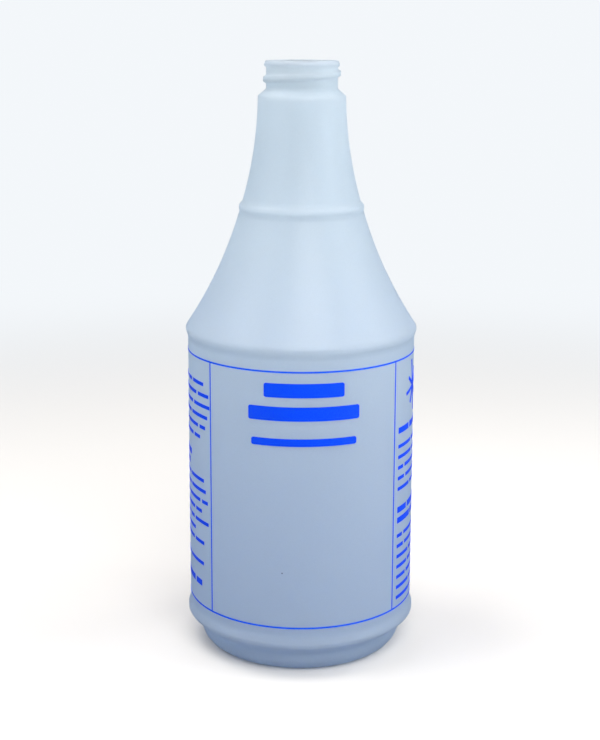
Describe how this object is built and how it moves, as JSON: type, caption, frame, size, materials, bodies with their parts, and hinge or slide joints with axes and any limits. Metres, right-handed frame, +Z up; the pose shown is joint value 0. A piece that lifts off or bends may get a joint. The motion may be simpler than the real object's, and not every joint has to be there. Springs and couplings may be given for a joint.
{
  "type": "glass cleaner bottle",
  "caption": "Open blow-moulded plastic spray bottle with a long flared neck, a grip ring, a screw finish and a blue one-colour print of borders and plain bars.",
  "frame": {"origin": "centre of the base, on the plane that the bottle stands on", "axes": "+Z up along the bottle's axis to the rim; -Y is the printed front; +X is to the right of someone who faces the front"},
  "size_m": [0.0854, 0.0854, 0.2158],
  "materials": {
    "bottle_wall": "satin milky polyethylene, slightly translucent",
    "print_ink": "satin screen ink"
  },
  "bodies": {
    "root": {"bottle": "bottle_wall", "border_print": "print_ink", "title_print": "print_ink", "left_column_print": "print_ink", "right_column_print": "print_ink"}
  },
  "joints": []
}
